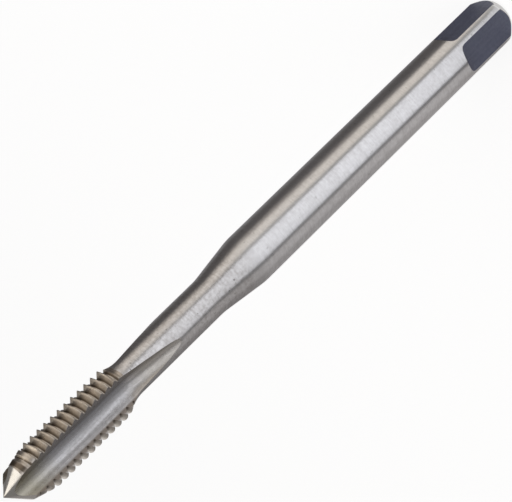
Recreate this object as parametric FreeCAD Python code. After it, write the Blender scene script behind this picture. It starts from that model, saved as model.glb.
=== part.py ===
import FreeCAD, Part
import math
import os

# Machine thread tap, ground from one bar of tool steel, size M6 by 1.
# Lengths are in millimetres and angles in degrees.
# The tap is built with its point at the origin and its shank above it.
# At the end it is turned over, so that it stands on the end of its square with the point up.

# Ends along the axis, measured from the tip of the point
overall_length = 82.3
chamfer_end = 4.8
thread_end = 15.9
neck_end = 31.7

# Lengths along the axis
flare_length = 2.7
cone_length = 5.9
square_length = 7.8
end_chamfer_length = 1.2

# Diameters, and how far the neck lies below the root of the thread
thread_diameter = 6.09
shank_diameter = 6.0
end_face_diameter = 4.3
neck_relief = 0.145

# Point and lead chamfer
point_half_angle = 45.0
lead_start_radius = 2.33
lead_relief = 0.09

# Thread form
pitch = 1.0
flank_angle = 30.0
crest_flat = 0.09
root_flat = 0.16
thread_phase = 0.367
first_turn = 1

# Flutes
flutes = 3
web_radius = 0.95
face_angle = 32.8
heel_angle = 42.3
flute_full_length = 17.2
run_out_bend_radius = 6.0
run_out_slope = 10.0
first_flute = 90.0

# Driving square
square_across_flats = 4.86
square_sides = 4
first_flat = 90.0
flat_run_out_radius = 1.25

# Turned corners
neck_corner_radius = 8.0
shank_corner_radius = 10.0

# Room that a cutting tool passes beyond the metal
clearance = 1.0
thread_tool_clearance = 0.07

thread_radius = thread_diameter / 2
thread_depth = (pitch - crest_flat - root_flat) / (2 * math.tan(math.radians(flank_angle)))
root_radius = thread_radius - thread_depth
neck_radius = root_radius - neck_relief
shank_radius = shank_diameter / 2
end_face_radius = end_face_diameter / 2

flute_step = 360 / flutes
square_step = 360 / square_sides

AXIS = FreeCAD.Vector(0, 0, 1)
ORIGIN = FreeCAD.Vector(0, 0, 0)
FULL_TURN = 360
HALF_TURN = 180
RIGHT_ANGLE = 90


def polar(radius, angle):
    """Point of the ground plane at a distance from the axis and at an angle about it."""
    turned = math.radians(angle)
    return FreeCAD.Vector(radius * math.cos(turned), radius * math.sin(turned), 0)


def outline_point(radius, height):
    """Point of the turned outline, which lies in the XZ plane."""
    return FreeCAD.Vector(radius, 0, height)


def turned_about_axis(shape, angle):
    """Copy of a shape turned about the axis."""
    copy = shape.copy()
    copy.rotate(ORIGIN, AXIS, angle)
    return copy


def slanted_line(start, end):
    """Straight edge kept as a spline, so a cone made from it meets flat cuts in splines too."""
    return Part.makeLine(start, end).toNurbs().Edges[0]


def corner_arc(before, corner, after, radius):
    """Arc that rounds a corner of the outline, as its start, middle and end."""
    back = (before - corner).normalize()
    ahead = (after - corner).normalize()
    half_opening = back.getAngle(ahead) / 2
    reach = radius / math.tan(half_opening)
    middle_line = (back + ahead).normalize()
    centre = corner + middle_line * (radius / math.sin(half_opening))
    return corner + back * reach, centre - middle_line * radius, corner + ahead * reach


def turned_blank():
    """Body of revolution: point, thread blank, flare, neck, cone, shank and end chamfer."""
    tip = outline_point(0, 0)
    point_top = outline_point(thread_radius, thread_radius / math.tan(math.radians(point_half_angle)))
    flare_top = outline_point(thread_radius, thread_end)
    flare_foot = outline_point(neck_radius, thread_end + flare_length)
    rise = thread_radius - neck_radius
    flare_radius = (flare_length ** 2 + rise ** 2) / (2 * rise)
    half_flare = math.asin(flare_length / flare_radius) / 2
    flare_middle = outline_point(
        neck_radius + flare_radius * (1 - math.cos(half_flare)),
        thread_end + flare_length - flare_radius * math.sin(half_flare))
    cone_foot = outline_point(neck_radius, neck_end)
    cone_top = outline_point(shank_radius, neck_end + cone_length)
    chamfer_foot = outline_point(shank_radius, overall_length - end_chamfer_length)
    chamfer_top = outline_point(end_face_radius, overall_length)
    end_centre = outline_point(0, overall_length)
    neck_arc = corner_arc(flare_foot, cone_foot, cone_top, neck_corner_radius)
    shank_arc = corner_arc(cone_foot, cone_top, chamfer_foot, shank_corner_radius)
    edges = [
        slanted_line(tip, point_top),
        Part.makeLine(point_top, flare_top),
        Part.Arc(flare_top, flare_middle, flare_foot).toShape(),
        Part.makeLine(flare_foot, neck_arc[0]),
        Part.Arc(*neck_arc).toShape(),
        Part.makeLine(neck_arc[2], shank_arc[0]),
        Part.Arc(*shank_arc).toShape(),
        Part.makeLine(shank_arc[2], chamfer_foot),
        slanted_line(chamfer_foot, chamfer_top),
        Part.makeLine(chamfer_top, end_centre),
        Part.makeLine(end_centre, tip),
    ]
    return Part.Face(Part.Wire(edges)).revolve(ORIGIN, AXIS, FULL_TURN)


def thread_groove():
    """V groove of the thread, swept along a right-hand helix that starts in the first flute."""
    outer_radius = thread_radius + thread_tool_clearance
    half_root = root_flat / 2
    half_mouth = half_root + (outer_radius - root_radius) * math.tan(math.radians(flank_angle))
    start = thread_phase + first_turn * pitch
    turns = math.ceil((thread_end + flare_length - start) / pitch)
    helix = Part.makeLongHelix(pitch, turns * pitch, root_radius, 0, False)
    helix.translate(AXIS * start)
    section = Part.makePolygon([
        outline_point(root_radius, start - half_root),
        outline_point(outer_radius, start - half_mouth),
        outline_point(outer_radius, start + half_mouth),
        outline_point(root_radius, start + half_root),
        outline_point(root_radius, start - half_root),
    ])
    groove = turned_about_axis(Part.Wire(helix.Edges).makePipeShell([section], True, True), first_flute)
    groove.translate(AXIS * (pitch * first_flute / FULL_TURN))
    return groove


def flute_section():
    """Closed section of a flute whose deepest line points along +X."""
    face = math.radians(face_angle)
    floor_radius = web_radius * math.sin(face) / (1 - math.sin(face))
    centre = FreeCAD.Vector(web_radius + floor_radius, 0, 0)
    mouth = thread_radius + clearance
    face_foot = polar(centre.x * math.cos(face), face_angle)
    face_top = polar(mouth, face_angle)
    mouth_middle = polar(mouth, 0)
    heel_edge = polar(thread_radius, -heel_angle)
    to_centre = centre - heel_edge
    lean = math.asin(floor_radius / to_centre.Length)
    bearing = math.atan2(to_centre.y, to_centre.x) + lean
    along = FreeCAD.Vector(math.cos(bearing), math.sin(bearing), 0)
    heel_foot = heel_edge + along * (to_centre.Length * math.cos(lean))
    heel_top = heel_edge - along * clearance
    floor = centre - FreeCAD.Vector(floor_radius, 0, 0)
    return Part.Wire([
        Part.makeLine(face_top, face_foot),
        Part.Arc(face_foot, floor, heel_foot).toShape(),
        Part.makeLine(heel_foot, heel_top),
        Part.makeLine(heel_top, mouth_middle),
        Part.makeLine(mouth_middle, face_top),
    ])


def flute_cut():
    """Straight flute with the run-out that the grinding wheel leaves."""
    section = Part.Face(flute_section())
    straight = section.copy()
    straight.translate(AXIS * -clearance)
    straight = straight.extrude(AXIS * (flute_full_length + clearance))
    section.translate(AXIS * flute_full_length)
    bend_centre = FreeCAD.Vector(web_radius + run_out_bend_radius, 0, flute_full_length)
    across = FreeCAD.Vector(0, 1, 0)
    bend = section.revolve(bend_centre, across, run_out_slope)
    section.rotate(bend_centre, across, run_out_slope)
    slope = math.radians(run_out_slope)
    ramp_length = (thread_radius + clearance - web_radius) / math.sin(slope)
    ramp = section.extrude(FreeCAD.Vector(math.sin(slope), 0, math.cos(slope)) * ramp_length)
    return straight.fuse([bend, ramp])


def lead_chamfer_cut():
    """Ring that grinds the lead of one land, deeper at the heel than at the cutting edge."""
    land_start = face_angle
    land_end = flute_step - heel_angle
    land_middle = (land_start + land_end) / 2
    half_land = math.radians(land_end - land_start) / 2
    offset = lead_relief / (2 * math.sin(half_land))
    start = lead_start_radius / math.tan(math.radians(point_half_angle))
    slope = (thread_radius - lead_start_radius) / (chamfer_end - start)
    sunk = lead_relief / 2
    low = start - clearance
    high = chamfer_end + clearance
    outer = thread_radius + clearance
    inner_low = outline_point(lead_start_radius - sunk - slope * clearance, low)
    inner_high = outline_point(thread_radius - sunk + slope * clearance, high)
    ring = Part.Face(Part.Wire([
        Part.makeLine(inner_low, outline_point(outer, low)),
        Part.makeLine(outline_point(outer, low), outline_point(outer, high)),
        Part.makeLine(outline_point(outer, high), inner_high),
        slanted_line(inner_high, inner_low),
    ])).revolve(ORIGIN, AXIS, FULL_TURN)
    ring.translate(polar(offset, land_middle - RIGHT_ANGLE))
    reach = 2 * outer
    sector = Part.Face(Part.makePolygon([
        ORIGIN,
        polar(reach, land_middle - flute_step / 2),
        polar(reach, land_middle),
        polar(reach, land_middle + flute_step / 2),
        ORIGIN,
    ])).extrude(AXIS * high)
    return ring.common(sector)


def flat_cut():
    """Cutter for one flat of the square, with the round corner of the wheel at its start."""
    flat = square_across_flats / 2
    start = overall_length - square_length - flat_run_out_radius
    end = overall_length + clearance
    outer = shank_radius + clearance
    flat_end = outline_point(flat, end)
    outer_end = outline_point(outer, end)
    outer_start = outline_point(outer, start)
    arc = corner_arc(flat_end, outline_point(flat, start), outer_start, flat_run_out_radius)
    section = Part.Face(Part.Wire([
        Part.makeLine(flat_end, arc[0]),
        Part.Arc(*arc).toShape(),
        Part.makeLine(arc[2], outer_start),
        Part.makeLine(outer_start, outer_end),
        Part.makeLine(outer_end, flat_end),
    ]))
    section.translate(FreeCAD.Vector(0, -outer, 0))
    return section.extrude(FreeCAD.Vector(0, 2 * outer, 0))


tap = turned_blank()
tap = tap.cut(thread_groove())
flute = flute_cut()
lead = lead_chamfer_cut()
flat_tool = flat_cut()
for index in range(flutes):
    tap = tap.cut(turned_about_axis(flute, first_flute + index * flute_step))
for index in range(flutes):
    tap = tap.cut(turned_about_axis(lead, first_flute + index * flute_step))
for index in range(square_sides):
    tap = tap.cut(turned_about_axis(flat_tool, first_flat + index * square_step))

# Stand the tap on its end face: one flute and one flat of the square face -Y
tap.rotate(ORIGIN, FreeCAD.Vector(1, 0, 0), HALF_TURN)
tap.translate(AXIS * overall_length)

os.makedirs("parts", exist_ok=True)
tap.exportStep("parts/thread_tap.step")
print("solids", len(tap.Solids), "valid", tap.isValid(), "volume", round(tap.Volume, 2), tap.BoundBox)
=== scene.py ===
import math
import bpy
import numpy as np
from mathutils import Matrix, Vector


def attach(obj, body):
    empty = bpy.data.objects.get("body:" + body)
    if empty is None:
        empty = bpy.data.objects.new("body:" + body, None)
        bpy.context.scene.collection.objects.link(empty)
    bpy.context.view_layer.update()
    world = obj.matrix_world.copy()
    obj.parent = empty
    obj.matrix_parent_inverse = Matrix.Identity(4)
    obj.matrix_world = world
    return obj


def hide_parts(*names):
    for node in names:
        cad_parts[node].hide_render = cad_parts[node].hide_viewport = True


# Thread tap standing on the end of its square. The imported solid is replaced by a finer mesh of
# the same shape, built from the same sizes, so that each ground surface has its own finish.

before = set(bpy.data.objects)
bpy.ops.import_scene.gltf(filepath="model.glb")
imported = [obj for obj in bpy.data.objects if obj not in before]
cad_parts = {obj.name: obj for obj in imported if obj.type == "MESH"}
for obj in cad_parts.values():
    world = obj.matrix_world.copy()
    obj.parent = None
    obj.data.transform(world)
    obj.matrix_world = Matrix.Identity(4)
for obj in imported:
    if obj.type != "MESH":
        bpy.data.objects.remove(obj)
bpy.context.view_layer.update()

MM = 0.001
FULL_TURN = 360
RIGHT_ANGLE = 90

# Sizes of the tap in millimetres, the same as in its solid model.
# Stations run along the axis from the tip of the point. Angles are in degrees.
# The point's half angle is 45 degrees, so on the point the stations and the radii are equal.
OVERALL_LENGTH = 82.3
CHAMFER_END = 4.8
THREAD_END = 15.9
NECK_END = 31.7
FLARE_LENGTH = 2.7
CONE_LENGTH = 5.9
SQUARE_LENGTH = 7.8
END_CHAMFER_LENGTH = 1.2
THREAD_RADIUS = 3.045
SHANK_RADIUS = 3.0
END_FACE_RADIUS = 2.15
NECK_RELIEF = 0.145
LEAD_START_RADIUS = 2.33
LEAD_RELIEF = 0.09
PITCH = 1.0
FLANK_ANGLE = 30.0
CREST_FLAT = 0.09
ROOT_FLAT = 0.16
THREAD_PHASE = 0.367
FLUTES = 3
WEB_RADIUS = 0.95
FACE_ANGLE = 32.8
HEEL_ANGLE = 42.3
FLUTE_FULL_LENGTH = 17.2
RUN_OUT_BEND_RADIUS = 6.0
RUN_OUT_SLOPE = math.radians(10.0)
FIRST_FLUTE = 90.0
FLAT_DISTANCE = 2.43
FLAT_RUN_OUT_RADIUS = 1.25
NECK_CORNER_RADIUS = 8.0
SHANK_CORNER_RADIUS = 10.0

# Sizes that follow from them
FLANK_SLOPE = 1 / math.tan(math.radians(FLANK_ANGLE))
HALF_ROOT = ROOT_FLAT / 2
HALF_CREST = CREST_FLAT / 2
FLANK_REACH = PITCH / 2 - HALF_CREST - HALF_ROOT
ROOT_RADIUS = THREAD_RADIUS - FLANK_REACH * FLANK_SLOPE
NECK_RADIUS = ROOT_RADIUS - NECK_RELIEF
BEYOND = SHANK_RADIUS + THREAD_RADIUS
FLUTE_STEP = FULL_TURN / FLUTES
LEAD_SLOPE = (THREAD_RADIUS - LEAD_START_RADIUS) / (CHAMFER_END - LEAD_START_RADIUS)
LAND_MIDDLE = FIRST_FLUTE + (FACE_ANGLE + FLUTE_STEP - HEEL_ANGLE) / 2
HALF_LAND = math.radians(FLUTE_STEP - HEEL_ANGLE - FACE_ANGLE) / 2
LEAD_OFFSET = LEAD_RELIEF / (2 * math.sin(HALF_LAND))
FLARE_END = THREAD_END + FLARE_LENGTH
CONE_END = NECK_END + CONE_LENGTH
FLAT_START = OVERALL_LENGTH - SQUARE_LENGTH
CHAMFER_FOOT = OVERALL_LENGTH - END_CHAMFER_LENGTH
END_SLOPE = (SHANK_RADIUS - END_FACE_RADIUS) / END_CHAMFER_LENGTH
FLAT_HALF_ANGLE = math.degrees(math.acos(FLAT_DISTANCE / SHANK_RADIUS))
HALF_SIDE = RIGHT_ANGLE / 2

# Columns of the mesh in each third of the turn, and the narrowest half flute that they keep
FLUTE_COLUMNS = 42
LAND_COLUMNS = 18
SECTOR = FLUTE_COLUMNS + LAND_COLUMNS
COLUMNS = SECTOR * FLUTES
COLUMN_STEP = FULL_TURN / COLUMNS
NARROWEST = 7.0
FLAT_EDGE = 36
FLAT_EDGE_SLACK = 0.001

# Rows of the mesh: stations, shares of the way between two of them, or counts. The counts are
# of the rows up to the square, at the round starts of the flats, along them and on the chamfer.
TIP_STATIONS = (0.25, 0.5, 0.75, 0.9, 0.96, 1.0, 1.05, 1.11,
                1.18, 1.27, 1.38, 1.5, 1.64, 1.8, 1.98, 2.15)
BEFORE_THREAD = (0.33, 0.67)
QUARTERS = (0.25, 0.5, 0.75)
FIRST_GROOVE = 3
LAST_GROOVE = 17
RUN_OUT_ROWS = np.linspace(18.9, 25.6, 32)
NECK_ROWS = np.linspace(26.0, 30.8, 10)
NECK_CORNER_ROWS = np.linspace(31.19, 32.21, 7)
CONE_ROWS = np.linspace(32.9, 36.4, 5)
SHANK_CORNER_ROWS = np.linspace(36.96, 38.24, 8)
SHANK_ROWS = np.linspace(39, 72.5, 26)
SPREAD_END = 30.7
GATHER = (45, 70)
FLAT_FULL = FLAT_START + 0.45
TO_FLAT_COUNT = 2
RUN_OUT_COUNT = 13
FLAT_COUNT = 5
CHAMFER_COUNT = 3
END_RINGS = (0.6, 0.2)

# Points along curves, and rounds of the searches
FLARE_POINTS = 60
CORNER_POINTS = 24
HEEL_POINTS = 120
FLOOR_POINTS = 160
FACE_POINTS = 100
FLUTE_MARGIN = 0.5
LEAST_REACH = 0.004
SEARCH_ROUNDS = 12
EDGE_ROUNDS = 5
HEEL_TABLES = 5
BEFORE_HEEL = 2
AFTER_HEEL = 36
FIRST_SHARES = (0.1, 0.9)


def fillet(before, corner, after, radius):
    """Points of the arc that rounds a corner of the turned outline."""
    before, corner, after = (np.array(p) for p in (before, corner, after))
    back = (before - corner) / np.linalg.norm(before - corner)
    ahead = (after - corner) / np.linalg.norm(after - corner)
    half = math.acos(float(np.clip(back @ ahead, -1, 1))) / 2
    middle = (back + ahead) / np.linalg.norm(back + ahead)
    centre = corner + middle * radius / math.sin(half)
    first = corner + back * radius / math.tan(half) - centre
    last = corner + ahead * radius / math.tan(half) - centre
    turn = math.pi - 2 * half
    points = []
    for s in np.linspace(0, 1, CORNER_POINTS):
        offset = first * math.sin((1 - s) * turn) + last * math.sin(s * turn)
        points.append(tuple(centre + offset / math.sin(turn)))
    return points


def turned_outline():
    """Stations and radii of the turned blank."""
    rise = THREAD_RADIUS - NECK_RADIUS
    flare_radius = (FLARE_LENGTH ** 2 + rise ** 2) / (2 * rise)
    flare = []
    for s in np.linspace(0, 1, FLARE_POINTS):
        back = FLARE_LENGTH * (1 - s)
        sunk = flare_radius - math.sqrt(flare_radius ** 2 - back ** 2)
        flare.append((FLARE_END - back, NECK_RADIUS + sunk))
    neck_corner = (NECK_END, NECK_RADIUS)
    shank_corner = (CONE_END, SHANK_RADIUS)
    chamfer_foot = (CHAMFER_FOOT, SHANK_RADIUS)
    points = [(0, 0), (THREAD_RADIUS, THREAD_RADIUS)] + flare
    points += fillet(flare[-1], neck_corner, shank_corner, NECK_CORNER_RADIUS)
    points += fillet(neck_corner, shank_corner, chamfer_foot, SHANK_CORNER_RADIUS)
    points += [chamfer_foot, (OVERALL_LENGTH, END_FACE_RADIUS)]
    return np.array(points)


OUTLINE = turned_outline()


def from_nearest_flat(angle):
    """Angle from the middle of the nearest flat."""
    return (angle + HALF_SIDE) % RIGHT_ANGLE - HALF_SIDE


def lead_radius(station, angle):
    """Radius of the relieved lead chamfer of the nearest land."""
    land = np.round((angle - LAND_MIDDLE) / FLUTE_STEP)
    from_middle = np.radians(angle - LAND_MIDDLE - land * FLUTE_STEP)
    along = LEAD_OFFSET * np.cos(from_middle + math.pi / 2)
    size = LEAD_START_RADIUS - LEAD_RELIEF / 2 + LEAD_SLOPE * (station - LEAD_START_RADIUS)
    return along + np.sqrt(np.maximum(size ** 2 - LEAD_OFFSET ** 2 + along ** 2, 0))


def envelope_radius(station, angle):
    """Radius of the blank with the lead chamfer ground on it, before the thread is cut."""
    blank = np.interp(station, OUTLINE[:, 0], OUTLINE[:, 1])
    return np.minimum(blank, lead_radius(station, angle))


def outer_radius(station, angle):
    """Radius of the metal on the lands, with thread, flats and end chamfer."""
    turns = (station - THREAD_PHASE) / PITCH - angle / FULL_TURN
    from_groove = np.abs(turns - np.round(turns)) * PITCH
    groove = ROOT_RADIUS + np.maximum(from_groove - HALF_ROOT, 0) * FLANK_SLOPE
    groove = np.where(station < FLARE_END, groove, BEYOND)
    from_flat = np.radians(from_nearest_flat(angle))
    back = np.clip(FLAT_START - station, 0, FLAT_RUN_OUT_RADIUS)
    rest = np.sqrt(FLAT_RUN_OUT_RADIUS ** 2 - back ** 2)
    depth = FLAT_DISTANCE + FLAT_RUN_OUT_RADIUS - rest
    reached = station > FLAT_START - FLAT_RUN_OUT_RADIUS
    flat = np.where(reached, depth / np.cos(from_flat), BEYOND)
    return np.minimum(np.minimum(envelope_radius(station, angle), groove), flat)


def unit(angle):
    """Unit vector across the axis, from an angle in radians."""
    return np.array([math.cos(angle), math.sin(angle)])


def flute_outline():
    """Outline of a flute whose deepest line points along +X, from beyond its heel to beyond its
    face, and how far along it each point lies, as a share."""
    face = math.radians(FACE_ANGLE)
    floor_radius = WEB_RADIUS * math.sin(face) / (1 - math.sin(face))
    centre = np.array([WEB_RADIUS + floor_radius, 0])
    heel_edge = THREAD_RADIUS * unit(math.radians(-HEEL_ANGLE))
    to_centre = centre - heel_edge
    distance = np.linalg.norm(to_centre)
    lean = math.asin(floor_radius / distance)
    along = unit(math.atan2(to_centre[1], to_centre[0]) + lean)
    heel_foot = heel_edge + along * distance * math.cos(lean)
    heel_top = heel_edge - along * FLUTE_MARGIN
    face_foot = centre[0] * math.cos(face) * unit(face)
    face_top = (THREAD_RADIUS + FLUTE_MARGIN) * unit(face)
    start = math.atan2(*(heel_foot - centre)[::-1]) % (2 * math.pi)
    end = math.atan2(*(face_foot - centre)[::-1]) % (2 * math.pi)
    points = [heel_top + (heel_foot - heel_top) * s for s in np.linspace(0, 1, HEEL_POINTS)[:-1]]
    points += [centre + floor_radius * unit(a) for a in np.linspace(start, end, FLOOR_POINTS)]
    points += [face_foot + (face_top - face_foot) * s for s in np.linspace(0, 1, FACE_POINTS)[1:]]
    points = np.array(points)
    steps = np.linalg.norm(np.diff(points, axis=0), axis=1)
    lengths = np.concatenate([[0], np.cumsum(steps)])
    return points, lengths / lengths[-1]


FLUTE_POINTS, FLUTE_SHARE = flute_outline()


def flute_at(stations):
    """Outline of the flute where each of its points lies at its own station, with the run-out."""
    to_bend = WEB_RADIUS + RUN_OUT_BEND_RADIUS - FLUTE_POINTS[:, 0]
    past = np.maximum(stations - FLUTE_FULL_LENGTH, 0)
    in_bend = past < to_bend * math.sin(RUN_OUT_SLOPE)
    bent = np.sqrt(np.maximum(to_bend ** 2 - np.where(in_bend, past, 0) ** 2, 0))
    ramp = to_bend / math.cos(RUN_OUT_SLOPE) - past * math.tan(RUN_OUT_SLOPE)
    x = WEB_RADIUS + RUN_OUT_BEND_RADIUS - np.where(in_bend, bent, ramp)
    return x, FLUTE_POINTS[:, 1]


def crest_reach(centre, angle, way):
    """How far from the middle of a groove its flank meets the crest, lead chamfer or flare."""
    reach = HALF_ROOT
    for _ in range(SEARCH_ROUNDS):
        height = float(envelope_radius(centre + way * reach, angle)) - ROOT_RADIUS
        reach = HALF_ROOT + min(max(height / FLANK_SLOPE, LEAST_REACH), FLANK_REACH)
    return reach


def threaded_rows(angle, land):
    """Stations of the rows of the threaded end at one angle on a land. They follow its grooves."""
    turns = round(THREAD_PHASE / PITCH + (LAND_MIDDLE + land * FLUTE_STEP) / FULL_TURN)
    shift = THREAD_PHASE + angle / FULL_TURN * PITCH - PITCH * turns
    lead = LEAD_START_RADIUS
    for _ in range(SEARCH_ROUNDS):
        lead = float(lead_radius(lead, angle))
    first_root = FIRST_GROOVE * PITCH + shift - HALF_ROOT
    rows = [s * lead / LEAD_START_RADIUS for s in TIP_STATIONS] + [lead]
    rows += [lead + (first_root - lead) * s for s in BEFORE_THREAD]
    for groove in range(FIRST_GROOVE, LAST_GROOVE + 1):
        centre = groove * PITCH + shift
        after = centre + PITCH
        up = crest_reach(centre, angle, 1)
        down = crest_reach(after, angle, -1)
        rows += [centre - HALF_ROOT, centre + HALF_ROOT]
        rows += [centre + HALF_ROOT + (up - HALF_ROOT) * s for s in QUARTERS]
        rows += [centre + up + (PITCH - up - down) * s for s in (0, *QUARTERS, 1)]
        rows += [after - down + (down - HALF_ROOT) * s for s in QUARTERS]
    rows += [rows[-1] + (RUN_OUT_ROWS[0] - rows[-1]) * s for s in QUARTERS]
    return np.array(rows + list(RUN_OUT_ROWS))


def flute_row(heel_station, face_station, share, flute):
    """One flute on one row: its outline, and the shares of it where it begins and ends.
    Those are none where it is narrower than its columns."""
    along = np.clip((FLUTE_SHARE - share[0]) / (share[1] - share[0]), 0, 1)
    stations = heel_station + (face_station - heel_station) * along
    x, y = flute_at(stations)
    angles = np.degrees(np.arctan2(y, x))
    turned = angles + FIRST_FLUTE + flute * FLUTE_STEP
    depth = np.hypot(x, y) - outer_radius(stations, turned)
    inside = np.flatnonzero(depth < 0)
    if len(inside) < 2:
        return x, y, angles, None
    ends = []
    for last_in, first_out in ((inside[0], inside[0] - 1), (inside[-1], inside[-1] + 1)):
        depths = [depth[last_in], depth[first_out]]
        ends.append(np.interp(0, depths, [FLUTE_SHARE[last_in], FLUTE_SHARE[first_out]]))
    heel_angle, face_angle = np.interp(ends, FLUTE_SHARE, angles)
    if face_angle - heel_angle < 2 * NARROWEST:
        return x, y, angles, None
    return x, y, angles, ends


def ring_points(radius, turn, station):
    """Points at their distances from the axis, angles about it in radians, and stations."""
    return np.stack([radius * np.cos(turn), radius * np.sin(turn), station], 1)


def find_flutes(face):
    """Edges of the flutes on each row, from the stations of the rows at the cutting faces.

    A row's station at the heel depends on the angle of the heel there, and the other way round,
    so both are found together in a few rounds."""
    count = len(face[0])
    ends = [FIRST_FLUTE + (land + 1) * FLUTE_STEP - HEEL_ANGLE for land in range(FLUTES)]
    samples = [np.linspace(end - BEFORE_HEEL, end + AFTER_HEEL, HEEL_TABLES) for end in ends]
    tables = [np.array([threaded_rows(a, land) for a in samples[land]]) for land in range(FLUTES)]
    edges = np.zeros((count, FLUTES, 2))
    edges[:] = (-HEEL_ANGLE, FACE_ANGLE)
    shares = np.zeros((count, FLUTES, 2))
    shares[:] = FIRST_SHARES
    fluted = np.zeros((count, FLUTES), bool)
    heel = np.zeros((count, FLUTES))
    outlines = {}
    for _ in range(EDGE_ROUNDS):
        for k in range(count):
            for flute in range(FLUTES):
                land = (flute - 1) % FLUTES
                heel_angle = FIRST_FLUTE + (land + 1) * FLUTE_STEP + edges[k, flute, 0]
                station = np.interp(heel_angle, samples[land], tables[land][:, k])
                x, y, angles, span = flute_row(station, face[flute][k], shares[k, flute], flute)
                heel[k, flute] = station
                outlines[k, flute] = (x, y, angles)
                fluted[k, flute] = span is not None
                if span:
                    shares[k, flute] = span
                    edges[k, flute] = np.interp(span, FLUTE_SHARE, angles)
                else:
                    edges[k, flute] = (-NARROWEST, NARROWEST)
    return heel, edges, shares, fluted, outlines


def threaded_end():
    """Grid of points of the tip, thread, flutes and run-out, and which rows have which flute."""
    starts = [FIRST_FLUTE + land * FLUTE_STEP + FACE_ANGLE for land in range(FLUTES)]
    face = [threaded_rows(starts[land], land) for land in range(FLUTES)]
    heel, edges, shares, fluted, outlines = find_flutes(face)
    count = len(face[0])
    grid = np.zeros((count, COLUMNS, 3))
    steps = np.arange(FLUTE_COLUMNS) / FLUTE_COLUMNS
    land_steps = np.arange(LAND_COLUMNS) / LAND_COLUMNS
    for k in range(count):
        for flute in range(FLUTES):
            first = flute * SECTOR
            base = FIRST_FLUTE + flute * FLUTE_STEP
            after = (flute + 1) % FLUTES
            x, y, angles = outlines[k, flute]
            z = heel[k, flute] + (face[flute][k] - heel[k, flute]) * steps
            if fluted[k, flute]:
                share = shares[k, flute, 0] + (shares[k, flute, 1] - shares[k, flute, 0]) * steps
                turn = np.radians(np.interp(share, FLUTE_SHARE, angles) + base)
                radius = np.interp(share, FLUTE_SHARE, np.hypot(x, y))
            else:
                turn = np.radians(NARROWEST * (2 * steps - 1) + base)
                radius = np.interp(np.degrees(turn) - base, angles, np.hypot(x, y))
                radius = np.minimum(radius, outer_radius(z, np.degrees(turn)))
            grid[k, first:first + FLUTE_COLUMNS] = ring_points(radius, turn, z)
            start = base + edges[k, flute, 1]
            end = base + FLUTE_STEP + edges[k, after, 0]
            angle = start + (end - start) * land_steps
            z = face[flute][k] + (heel[k, after] - face[flute][k]) * land_steps
            on_land = ring_points(outer_radius(z, angle), np.radians(angle), z)
            grid[k, first + FLUTE_COLUMNS:first + SECTOR] = on_land
    return grid, fluted


def smooth(value, start, end):
    """Share from 0 to 1 that goes over smoothly between two stations."""
    share = min(max((value - start) / (end - start), 0), 1)
    return share * share * (3 - 2 * share)


def column_angles(station):
    """Angles of the columns above the run-out. They spread out evenly along the neck, then
    gather on the edges of the flats."""
    column = np.arange(SECTOR)
    in_flute = -NARROWEST + 2 * NARROWEST * column / FLUTE_COLUMNS
    land_width = FLUTE_STEP - 2 * NARROWEST
    on_land = NARROWEST + land_width * (column - FLUTE_COLUMNS) / LAND_COLUMNS
    narrow = np.where(column < FLUTE_COLUMNS, in_flute, on_land)
    even = -HEEL_ANGLE + COLUMN_STEP * column
    sector = narrow + (even - narrow) * smooth(station, RUN_OUT_ROWS[-1], SPREAD_END)
    angles = [FIRST_FLUTE + flute * FLUTE_STEP + sector for flute in range(FLUTES)]
    angles = np.concatenate(angles)
    gather = smooth(station, *GATHER)
    angles = angles + (math.ceil(angles[0]) - angles[0]) * gather
    from_flat = from_nearest_flat(angles)
    on_flat = from_flat * FLAT_HALF_ANGLE / FLAT_EDGE
    past_edge = (np.abs(from_flat) - FLAT_EDGE) / (HALF_SIDE - FLAT_EDGE)
    corner = FLAT_HALF_ANGLE + past_edge * (HALF_SIDE - FLAT_HALF_ANGLE)
    inside = np.abs(from_flat) <= FLAT_EDGE + FLAT_EDGE_SLACK
    wanted = np.where(inside, on_flat, np.sign(from_flat) * corner)
    return angles + (wanted - from_flat) * gather


def plain_end():
    """Grid of points of the neck, cone, shank and square, and how many rows come before it."""
    sections = (NECK_ROWS, NECK_CORNER_ROWS, CONE_ROWS, SHANK_CORNER_ROWS, SHANK_ROWS)
    stations = np.concatenate(sections)
    rows = [(column_angles(station), np.full(COLUMNS, station)) for station in stations]
    angles = column_angles(stations[-1])
    from_flat = np.radians(np.minimum(np.abs(from_nearest_flat(angles)), FLAT_HALF_ANGLE))
    inward = FLAT_DISTANCE + FLAT_RUN_OUT_RADIUS - SHANK_RADIUS * np.cos(from_flat)
    begin = FLAT_START - np.sqrt(np.maximum(FLAT_RUN_OUT_RADIUS ** 2 - inward ** 2, 0))
    chamfer = CHAMFER_FOOT + (SHANK_RADIUS - FLAT_DISTANCE / np.cos(from_flat)) / END_SLOPE
    for start, end, count in (
        (stations[-1], begin, TO_FLAT_COUNT),
        (begin, FLAT_FULL, RUN_OUT_COUNT),
        (FLAT_FULL, chamfer, FLAT_COUNT),
        (chamfer, OVERALL_LENGTH, CHAMFER_COUNT),
    ):
        rows += [(angles, start + (end - start) * s) for s in np.arange(1, count + 1) / count]
    grid = [ring_points(outer_radius(z, turned), np.radians(turned), z) for turned, z in rows]
    rim = grid[-1]
    grid += [rim * (share, share, 1) for share in END_RINGS]
    return np.array(grid), len(stations)


SHANK, NECK, FLUTE, THREAD, FLAT, END, POINT = range(7)


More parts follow.
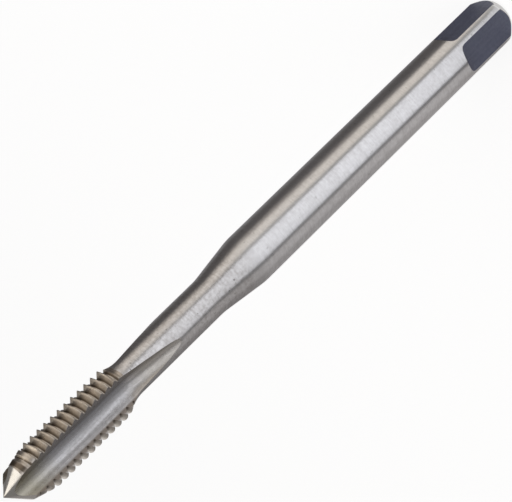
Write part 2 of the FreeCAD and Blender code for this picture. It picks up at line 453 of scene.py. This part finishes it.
def make_tap():
    """The whole tap as one closed mesh, with the finish of each surface."""
    threaded, fluted = threaded_end()
    plain, shank_rows = plain_end()
    grid = np.concatenate([threaded, plain])
    count = len(grid)
    points = np.concatenate([grid.reshape(-1, 3), [[0, 0, 0], [0, 0, OVERALL_LENGTH]]])
    tip, end = len(points) - 2, len(points) - 1
    turned_over = np.stack([points[:, 0], -points[:, 1], OVERALL_LENGTH - points[:, 2]], 1) * MM
    faces = []
    finish = []
    first_square = len(threaded) + shank_rows + TO_FLAT_COUNT
    first_end = first_square + RUN_OUT_COUNT + FLAT_COUNT
    from_flat = np.abs(from_nearest_flat(column_angles(FLAT_START) + COLUMN_STEP / 2))
    for k in range(count - 1):
        row, above = k * COLUMNS, (k + 1) * COLUMNS
        for c in range(COLUMNS):
            d = (c + 1) % COLUMNS
            faces.append((row + c, row + d, above + d, above + c))
            station = grid[k, c, 2]
            flute, column = divmod(c, SECTOR)
            on_flute = k < len(threaded) - 1 and column < FLUTE_COLUMNS
            if on_flute and (fluted[k, flute] or fluted[k + 1, flute]):
                finish.append(FLUTE)
            elif k < len(TIP_STATIONS):
                finish.append(POINT)
            elif station < THREAD_END + FLARE_LENGTH / 2:
                finish.append(THREAD)
            elif k + 1 > first_end:
                finish.append(END)
            elif k + 1 > first_square and from_flat[c] < FLAT_HALF_ANGLE:
                finish.append(FLAT)
            else:
                finish.append(NECK if station < CONE_END else SHANK)
    last = (count - 1) * COLUMNS
    for c in range(COLUMNS):
        d = (c + 1) % COLUMNS
        faces.append((tip, d, c))
        finish.append(POINT)
        faces.append((last + c, last + d, end))
        finish.append(END)
    mesh = bpy.data.meshes.new("thread_tap_ground")
    mesh.from_pydata(turned_over.tolist(), [], faces)
    mesh.polygons.foreach_set("material_index", finish)
    mesh.polygons.foreach_set("use_smooth", [True] * len(faces))
    mesh.update()
    return mesh


def add_object(name, data):
    """New object in the scene."""
    thing = bpy.data.objects.new(name, data)
    bpy.context.scene.collection.objects.link(thing)
    return thing


# Camera: where the photograph was taken from, as angles and millimetres about the standing tap.
# Lens and sensor are in millimetres too, and the clip distances in metres.
CAMERA_AZIMUTH = -59.18
CAMERA_ELEVATION = 27.565
CAMERA_ROLL = 44.368
CAMERA_DISTANCE = 275.187
AIM_HEIGHT = 42.3
AIM_DOWN = 0.576
AIM_SIDE = 0.013
FOCAL_LENGTH = 182.73
SENSOR_WIDTH = 36
CLIP_START = 0.01
CLIP_END = 20


def make_camera():
    """Camera at the photograph's viewing angle."""
    azimuth = math.radians(CAMERA_AZIMUTH)
    elevation = math.radians(CAMERA_ELEVATION)
    roll = math.radians(CAMERA_ROLL)
    outward = Vector((math.cos(azimuth), math.sin(azimuth), 0))
    side = Vector((math.sin(azimuth), -math.cos(azimuth), 0))
    up = Vector((0, 0, 1))
    to_camera = outward * math.cos(elevation) + up * math.sin(elevation)
    down = outward * math.sin(elevation) - up * math.cos(elevation)
    place = up * AIM_HEIGHT + to_camera * CAMERA_DISTANCE - down * AIM_DOWN + side * AIM_SIDE
    image_right = down * math.cos(roll) + side * math.sin(roll)
    image_up = down * math.sin(roll) - side * math.cos(roll)
    data = bpy.data.cameras.new("camera")
    data.sensor_width = SENSOR_WIDTH
    data.lens = FOCAL_LENGTH
    data.clip_start = CLIP_START
    data.clip_end = CLIP_END
    camera = add_object("camera", data)
    turn = Matrix((image_right, image_up, to_camera)).transposed().to_4x4()
    camera.matrix_world = Matrix.Translation(place * MM) @ turn
    bpy.context.scene.camera = camera


# Numbers of the sockets that Blender's mix node has for colours
MIX_SHARE = 0
MIX_FIRST = 6
MIX_SECOND = 7
MIX_RESULT = 2


class Nodes:
    """Shorthand for building a material's nodes."""

    def __init__(self, name):
        self.material = bpy.data.materials.new(name)
        self.material.use_nodes = True
        self.tree = self.material.node_tree
        self.shader = self.tree.nodes["Principled BSDF"]

    def new(self, kind, inputs=(), **settings):
        """New node. An input that is a socket is linked, and any other is a value."""
        node = self.tree.nodes.new(kind)
        for key, value in settings.items():
            setattr(node, key, value)
        for key, value in dict(inputs).items():
            if isinstance(value, bpy.types.NodeSocket):
                self.tree.links.new(value, node.inputs[key])
            else:
                node.inputs[key].default_value = value
        return node

    def math(self, operation, first, second=0.0):
        """Result of one operation."""
        return self.new("ShaderNodeMath", {0: first, 1: second}, operation=operation).outputs[0]

    def product(self, first, *others):
        """Product of two or more values."""
        for other in others:
            first = self.math("MULTIPLY", first, other)
        return first

    def ramp(self, value, start, end, low=0.0, high=1.0):
        """Value that goes from low at start to high at end and stays there."""
        limits = {"From Min": start, "From Max": end, "To Min": low, "To Max": high}
        return self.new("ShaderNodeMapRange", {"Value": value, **limits}).outputs[0]

    def noise(self, vector, scale, detail):
        """Noise between 0 and 1."""
        inputs = {"Vector": vector, "Scale": scale, "Detail": detail}
        inputs["Roughness"] = NOISE_ROUGHNESS
        return self.new("ShaderNodeTexNoise", inputs).outputs["Fac"]

    def mix(self, share, first, second):
        """Mix of two colours."""
        socket = bpy.types.NodeSocket
        first, second = (c if isinstance(c, socket) else (*c, 1) for c in (first, second))
        inputs = {MIX_SHARE: share, MIX_FIRST: first, MIX_SECOND: second}
        return self.new("ShaderNodeMix", inputs, data_type="RGBA").outputs[MIX_RESULT]

    def link(self, socket, name):
        """Link to an input of the material's shader."""
        self.tree.links.new(socket, self.shader.inputs[name])


class Place:
    """Where on the tap a material is: metres along the axes and from the tap's axis, and the
    angle about it in radians."""

    def __init__(self, n):
        self.point = n.new("ShaderNodeTexCoord").outputs["Object"]
        self.x, self.y, self.z = n.new("ShaderNodeSeparateXYZ", {0: self.point}).outputs
        squares = n.math("ADD", n.product(self.x, self.x), n.product(self.y, self.y))
        self.radius = n.math("SQRT", squares)
        self.turn = n.math("ARCTAN2", self.y, self.x)


# Stains and painted shade: where each begins and where it is full, how strong it is, and its
# colour.
# Heights and radii are in metres. Sides are degrees from the middle of the flute, negative at the
# heel.
# The painted shade in the roots begins and ends at shares of the way from one groove of the thread
# to the next.
OLIVE_HEIGHT = (0.0755, 0.0795)
OLIVE_SHARE = 0.75
OLIVE = (0.38, 0.355, 0.27)
BEIGE_HEIGHT = (0.0660, 0.0620)
BEIGE_SHARE = 0.7
BEIGE = (0.46, 0.43, 0.38)
HEEL_SHADE_SIDE = (-24.0, -32.0)
HEEL_SHADE_RADIUS = (0.0010, 0.0017)
HEEL_SHADE_SHARE = 0.7
BAND_SIDE = (24.0, 30.0)
BAND_INNER_RADIUS = (0.0022, 0.0024)
BAND_OUTER_RADIUS = (0.00305, 0.00275)
BAND_SHARE = 0.85
# Brown of the painted shade on the heel walls, and of the band beside the teeth
HEEL_SHADE_AND_BAND_BROWN = (0.19, 0.16, 0.135)
SHANK_HEIGHT = (0.0475, 0.0447)
SHANK_SHARE = 0.85
SHANK_COLOUR = (0.712, 0.71, 0.713)
# Painted shade low in the roots of the thread, on the flanks that face the point
ROOT_SHADE_BEGIN = (0.0, 0.03)
ROOT_SHADE_END = (0.6, 0.5)
ROOT_SHADE_LEAST = 0.25
ROOT_SHADE_INNER_RADIUS = (0.00226, 0.0023)
ROOT_SHADE_OUTER_RADIUS = (0.00268, 0.00242)
ROOT_SHADE_SHARE = 0.95
ROOT_SHADE_COLOUR = (0.16, 0.13, 0.10)


def flute_stains_and_shade(n, place):
    """Painted shade on the flutes' heel walls, brown band beside the teeth, olive start and beige
    end.
    """
    degrees = n.product(place.turn, 180 / math.pi)
    shifted = n.math("ADD", degrees, FLUTE_STEP * (FLUTES + 0.5) + FIRST_FLUTE)
    side = n.math("SUBTRACT", FLUTE_STEP / 2, n.math("FLOORED_MODULO", shifted, FLUTE_STEP))
    # The heel walls of the flutes are darkened towards the rim: painted shade.
    heel = n.product(n.ramp(side, *HEEL_SHADE_SIDE), n.ramp(place.radius, *HEEL_SHADE_RADIUS), HEEL_SHADE_SHARE)
    inner = n.ramp(place.radius, *BAND_INNER_RADIUS)
    outer = n.ramp(place.radius, *BAND_OUTER_RADIUS)
    band = n.product(n.ramp(side, *BAND_SIDE), inner, outer, BAND_SHARE)
    return (
        (n.product(n.ramp(place.z, *OLIVE_HEIGHT), OLIVE_SHARE), OLIVE),
        (n.product(n.ramp(place.z, *BEIGE_HEIGHT), BEIGE_SHARE), BEIGE),
        (n.math("ADD", heel, band), HEEL_SHADE_AND_BAND_BROWN),
    )


def towards_shank(n, place):
    """The neck's coarser finish gives way to the shank's finer one at the top of the cone."""
    return ((n.product(n.ramp(place.z, *SHANK_HEIGHT), SHANK_SHARE), SHANK_COLOUR),)


def root_painted_shade(n, place):
    """Painted shade low on the flanks of the thread that face the point."""
    about = n.product(place.turn, 0.5 / math.pi)
    turns = n.math("SUBTRACT", about, n.product(place.z, 1 / (PITCH * MM)))
    turns = n.math("ADD", turns, (OVERALL_LENGTH - THREAD_PHASE) / PITCH)
    phase = n.math("FLOORED_MODULO", turns, 1.0)
    begin = n.ramp(phase, *ROOT_SHADE_BEGIN, ROOT_SHADE_LEAST)
    flank = n.math("MINIMUM", begin, n.ramp(phase, *ROOT_SHADE_END, ROOT_SHADE_LEAST))
    inner = n.ramp(place.radius, *ROOT_SHADE_INNER_RADIUS)
    low = n.product(inner, n.ramp(place.radius, *ROOT_SHADE_OUTER_RADIUS))
    return ((n.product(flank, low, ROOT_SHADE_SHARE), ROOT_SHADE_COLOUR),)


# What all the steels share. Lines along the axis are LINE_LENGTH times as long as they are wide.
LINE_LENGTH = 30
LINES_ROUND = 1.5
LINE_DETAIL = 3.0
GRAIN_DETAIL = 2.0
NOISE_ROUGHNESS = 0.6
CONTRAST = (0.36, 0.64)
ROUGHNESS_SPREAD = 0.05
BUMP_STRENGTH = 0.5
NICK_SCALE = 1100.0
NICK_DETAIL = 2.0
NICK_EDGE = (0.70, 0.73)
NICK_COLOUR = (0.12, 0.11, 0.10)
# Lighter colour on sharp convex edges: edge wear and a painted highlight along them
WEAR_AND_GLINT_EDGE = (0.52, 0.60)
WEAR_AND_GLINT_COLOUR = (0.86, 0.84, 0.80)
ALONG_AXIS = 0.0
ROUND_AXIS = 0.25


def steel(name, light, dark, roughness=0.36, anisotropy=0.9, along=False, fine=5500, grain=3000,
          lines=0.5, nicks=0.0, wear_and_glint=0.0, bump=0.000002, metallic=1.0, stains_and_shade=None):
    """Ground steel. Its grinding lines run round the axis, or along it."""
    n = Nodes(name)
    place = Place(n)
    if along:
        stretched = {0: n.product(place.x, fine), 1: n.product(place.y, fine)}
        stretched[2] = n.product(place.z, fine / LINE_LENGTH)
    else:
        across = [n.product(n.math(way, place.turn), LINES_ROUND) for way in ("COSINE", "SINE")]
        stretched = {0: across[0], 1: across[1], 2: n.product(place.z, fine)}
    vector = n.new("ShaderNodeCombineXYZ", stretched).outputs[0]
    scratches = n.noise(vector, 1.0, LINE_DETAIL)
    speckles = n.noise(place.point, grain, GRAIN_DETAIL)
    mixed = n.math("ADD", n.product(scratches, lines), n.product(speckles, 1 - lines))
    colour = n.mix(n.ramp(mixed, *CONTRAST), dark, light)
    # Stains and painted shade, such as on the flutes' heels and in the thread's roots, are mixed
    # in here.
    for share, stain_and_shade_colour in stains_and_shade(n, place) if stains_and_shade else ():
        colour = n.mix(share, colour, stain_and_shade_colour)
    height = scratches
    if nicks:
        nick = n.ramp(n.noise(place.point, NICK_SCALE, NICK_DETAIL), *NICK_EDGE)
        colour = n.mix(n.product(nick, nicks), colour, NICK_COLOUR)
        height = n.math("SUBTRACT", scratches, nick)
    # Sharp convex edges such as the thread's crests are lightened: edge wear and a painted
    # highlight.
    if wear_and_glint:
        pointed = n.new("ShaderNodeNewGeometry").outputs["Pointiness"]
        colour = n.mix(n.product(n.ramp(pointed, *WEAR_AND_GLINT_EDGE), wear_and_glint), colour, WEAR_AND_GLINT_COLOUR)
    n.link(colour, "Base Color")
    rough, fair = roughness + ROUGHNESS_SPREAD, roughness - ROUGHNESS_SPREAD
    n.link(n.ramp(mixed, *CONTRAST, rough, fair), "Roughness")
    n.shader.inputs["Metallic"].default_value = metallic
    n.shader.inputs["Anisotropic"].default_value = anisotropy
    n.shader.inputs["Anisotropic Rotation"].default_value = ALONG_AXIS if along else ROUND_AXIS
    tangent = n.new("ShaderNodeTangent", direction_type="RADIAL", axis="Z")
    n.link(tangent.outputs[0], "Tangent")
    relief = {"Height": height, "Distance": bump, "Strength": BUMP_STRENGTH}
    n.link(n.new("ShaderNodeBump", relief).outputs[0], "Normal")
    return n.material


# The finishes of the tap, in the order of the numbers that the mesh gives its faces
FINISHES = (
    dict(name="steel_shank", light=(0.765, 0.765, 0.77), dark=(0.66, 0.655, 0.655), nicks=0.2),
    dict(name="steel_neck", light=(0.72, 0.715, 0.715), dark=(0.55, 0.535, 0.525),
         roughness=0.38, fine=5000, grain=3200, lines=0.4, nicks=0.55, bump=0.000003,
         stains_and_shade=towards_shank),
    dict(name="steel_flute", light=(0.56, 0.56, 0.575), dark=(0.40, 0.395, 0.40),
         roughness=0.30, anisotropy=0.8, along=True, fine=6000, grain=3500, lines=0.65,
         stains_and_shade=flute_stains_and_shade),
    dict(name="steel_thread", light=(0.66, 0.61, 0.55), dark=(0.48, 0.43, 0.37),
         roughness=0.32, anisotropy=0.5, fine=9000, wear_and_glint=0.2, stains_and_shade=root_painted_shade),
    dict(name="steel_flat", light=(0.059, 0.066, 0.106), dark=(0.046, 0.051, 0.084),
         roughness=0.55, anisotropy=0.3, along=True, fine=6000, metallic=0.0),
    dict(name="steel_end", light=(0.66, 0.65, 0.64), dark=(0.55, 0.54, 0.53),
         roughness=0.4, anisotropy=0.5, fine=9000),
    dict(name="steel_point", light=(0.74, 0.72, 0.69), dark=(0.70, 0.68, 0.64),
         roughness=0.19, anisotropy=0.6, fine=1500, bump=0.0000001),
)

# Edges at which the mesh turns by more degrees than this are shaded sharp
SHARP_ANGLE = 8.5


def emission(name, colour, level):
    """Plain glowing material."""
    material = bpy.data.materials.new(name)
    material.use_nodes = True
    tree = material.node_tree
    tree.nodes.clear()
    glow = tree.nodes.new("ShaderNodeEmission")
    glow.inputs["Color"].default_value = (*colour, 1)
    glow.inputs["Strength"].default_value = level
    out = tree.nodes.new("ShaderNodeOutputMaterial")
    tree.links.new(glow.outputs[0], out.inputs["Surface"])
    return material


SQUARE = ((-1, -1), (1, -1), (1, 1), (-1, 1))

# Floor: half its width in metres, its paint, and how white the camera and the steel see it
FLOOR_SIZE = 3.0
FLOOR_COLOUR = (0.92, 0.92, 0.92, 1)
FLOOR_ROUGHNESS = 0.9
FLOOR_WHITE = 0.85


def make_floor():
    """Plain floor. The camera and the steel see it nearly white, with the tap's shadow."""
    mesh = bpy.data.meshes.new("floor")
    mesh.from_pydata([(FLOOR_SIZE * x, FLOOR_SIZE * y, 0) for x, y in SQUARE], [], [(0, 1, 2, 3)])
    floor = add_object("floor", mesh)
    n = Nodes("floor")
    n.shader.inputs["Base Color"].default_value = FLOOR_COLOUR
    n.shader.inputs["Roughness"].default_value = FLOOR_ROUGHNESS
    n.shader.inputs["Specular IOR Level"].default_value = 0.0
    path = n.new("ShaderNodeLightPath").outputs
    seen = n.math("MAXIMUM", path["Is Camera Ray"], path["Is Glossy Ray"])
    seen = n.math("MAXIMUM", seen, path["Is Transmission Ray"])
    white = n.new("ShaderNodeEmission", {"Strength": 1.0}).outputs[0]
    inputs = {0: n.product(seen, FLOOR_WHITE), 1: n.shader.outputs[0], 2: white}
    mix = n.new("ShaderNodeMixShader", inputs)
    n.tree.links.new(mix.outputs[0], n.tree.nodes["Material Output"].inputs["Surface"])
    mesh.materials.append(n.material)


def direction(side, elevation):
    """Unit vector to a place in the studio, from degrees. Side 0 is the camera's side, and
    positive sides are to its left."""
    a = math.radians(CAMERA_AZIMUTH - side)
    e = math.radians(elevation)
    return Vector((math.cos(a) * math.cos(e), math.sin(a) * math.cos(e), math.sin(e)))


# Softbox that lights the floor and the dark flats: metres, watts and degrees
KEY_SIDE = -5
KEY_ELEVATION = 62
KEY_DISTANCE = 0.8
KEY_AIM = 0.05
KEY_SIZE = 0.68
KEY_POWER = 8
KEY_COLOUR = (1.0, 0.98, 0.96)


def make_key():
    """Softbox that looks at the tap. It doesn't show in the steel."""
    data = bpy.data.lights.new("key", "AREA")
    data.shape = "SQUARE"
    data.size = KEY_SIZE
    data.energy = KEY_POWER
    data.color = KEY_COLOUR
    lamp = add_object("key", data)
    out = direction(KEY_SIDE, KEY_ELEVATION)
    lamp.location = Vector((0, 0, KEY_AIM)) + out * KEY_DISTANCE
    lamp.rotation_mode = "QUATERNION"
    lamp.rotation_quaternion = out.to_track_quat("Z", "Y")
    lamp.visible_glossy = False


# Studio cards that only the steel sees. Each has a name, its sides from and to in degrees, its
# colour and its level. They lie in four rings round the tap. At the photograph's elevation the
# end ring shows in the square, the near ring in the shank and the neck, the middle ring in the
# flute, and the far ring in the cone. A ring's profile is its radii and heights in millimetres.
COOL = (0.97, 0.97, 1.0)
WARM = (1.0, 0.92, 0.835)
GAP = (1.0, 0.97, 0.94)
DARK = (1.0, 0.92, 0.93)
DIM = (1.0, 0.98, 0.98)
BACK = (1.0, 0.98, 0.97)
LINE = (1.0, 0.97, 1.0)
GREY = (1.0, 0.96, 0.95)
LOWER = (1.0, 0.95, 0.94)


def behind(dim, left, middle, right):
    """The four cards behind the tap, from their levels."""
    return (
        ("dim", -155, -128, DIM, dim),
        ("back_left", 150, 160, BACK, left),
        ("back", 160, 200, BACK, middle),
        ("back_right", 200, 205, BACK, right),
    )


END_CARDS = (
    ("front", -22, 50, COOL, 0.78),
    ("gap", -34, -22, GAP, 0.40),
    ("warm", -70, -34, (1.0, 0.93, 0.85), 0.78),
    ("dark", -128, -70, DARK, 0.10),
    *behind(0.22, 0.30, 0.80, 0.30),
    ("line", 50, 63, LINE, 0.10),
    ("grey", 63, 100, GREY, 0.50),
    ("lower", 100, 150, LOWER, 0.33),
)
NEAR_CARDS = (
    ("front", -22, 50, (0.965, 0.965, 1.0), 1.17),
    ("gap", -34, -22, GAP, 0.20),
    ("warm", -67, -34, WARM, 0.87),
    ("dark", -128, -67, DARK, 0.10),
    *behind(0.26, 0.30, 0.80, 0.30),
    ("line", 50, 63, LINE, 0.08),
    ("grey", 63, 100, GREY, 0.62),
    ("lower", 100, 150, LOWER, 0.47),
)
MIDDLE_CARDS = (
    ("front", -34, 18, (0.98, 0.98, 1.0), 1.08),
    ("gap", -55, -34, (0.99, 0.975, 0.97), 1.08),
    ("warm", -80, -55, (1.0, 0.91, 0.81), 1.05),
    ("dark", -128, -80, (1.0, 0.92, 0.90), 0.12),
    *behind(0.30, 0.18, 0.66, 0.40),
    ("side", 18, 60, (1.0, 0.99, 1.0), 0.42),
    ("grey", 60, 100, (1.0, 0.97, 0.96), 0.26),
    ("lower", 100, 150, (1.0, 0.96, 0.95), 0.12),
)
FAR_CARDS = (
    ("front", -22, 46, COOL, 1.1),
    ("gap", -34, -22, GAP, 0.18),
    ("warm", -70, -34, WARM, 0.88),
    ("dark", -128, -70, DARK, 0.09),
    *behind(0.22, 0.30, 0.80, 0.30),
    ("line", 46, 62, LINE, 0.08),
    ("grey", 62, 100, GREY, 0.50),
    ("lower", 100, 150, LOWER, 0.32),
)
RINGS = (
    ("end", END_CARDS, ((4, 0.2), (15, 0.2))),
    ("near", NEAR_CARDS, ((15, 0.2), (60, 0.2), (120, 0.2))),
    ("middle", MIDDLE_CARDS, ((120, 0.2), (235, 0.2))),
    ("far", FAR_CARDS, ((235, 0.2), (250, 0.2), (320, 15), (420, 90), (450, 320))),
)
CARD_STEP = 4


def add_card(name, points, faces, colour, level):
    """Glowing card that only reflections see."""
    mesh = bpy.data.meshes.new(name)
    mesh.from_pydata(points, [], faces)
    mesh.materials.append(emission(name, colour, level))
    card = add_object(name, mesh)
    card.visible_camera = False
    card.visible_diffuse = False
    card.visible_transmission = False
    card.visible_shadow = False


def make_card(profile, name, start, end, colour, level):
    """Card of a ring, between two sides."""
    count = max(2, math.ceil((end - start) / CARD_STEP) + 1)
    points = []
    for side in np.linspace(start, end, count):
        out = direction(side, 0)
        for radius, height in profile:
            points.append((out.x * radius * MM, out.y * radius * MM, height * MM))
    rows = len(profile)
    corners = [c * rows + k for c in range(count - 1) for k in range(rows - 1)]
    faces = [(first, first + 1, first + rows + 1, first + rows) for first in corners]
    add_card(name, points, faces, colour, level)


# Cards above the tap, which light its point and its thread. Each has a name, side, elevation
# and half angle in degrees, colour and level. Distance and aim are in metres.
PANELS = (
    ("point_light", -68, 52, 19.5, (1.0, 0.96, 0.90), 1.33),
    ("thread_light", -116, 66, 12, (1.0, 0.91, 0.79), 1.6),
)
PANEL_DISTANCE = 0.8
PANEL_AIM = 0.075


def make_panel(name, side, elevation, half_angle, colour, level):
    """Square card above the tap, which faces it."""
    out = direction(side, elevation)
    across = out.cross(Vector((0, 0, 1))).normalized()
    up = across.cross(out)
    reach = PANEL_DISTANCE * math.tan(math.radians(half_angle))
    middle = Vector((0, 0, PANEL_AIM)) + out * PANEL_DISTANCE
    points = [tuple(middle + across * reach * x + up * reach * y) for x, y in SQUARE]
    add_card(name, points, [(0, 1, 2, 3)], colour, level)


WORLD_COLOUR = (1, 0.97, 0.95, 1)
WORLD_LEVEL = 0.22


def make_world():
    """Dim even light from all round."""
    world = bpy.data.worlds.new("world")
    world.use_nodes = True
    background = world.node_tree.nodes["Background"]
    background.inputs["Color"].default_value = WORLD_COLOUR
    background.inputs["Strength"].default_value = WORLD_LEVEL
    bpy.context.scene.world = world


make_camera()
make_floor()
for ring, cards, profile in RINGS:
    for card, *settings in cards:
        make_card(profile, ring + "_" + card, *settings)
for panel in PANELS:
    make_panel(*panel)
make_key()
make_world()
bpy.context.scene.view_settings.view_transform = "Standard"

mesh = make_tap()
tap = add_object("thread_tap_ground", mesh)
for finish in FINISHES:
    mesh.materials.append(steel(**finish))
mesh.set_sharp_from_angle(angle=math.radians(SHARP_ANGLE))
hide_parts("thread_tap")
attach(tap, "root")
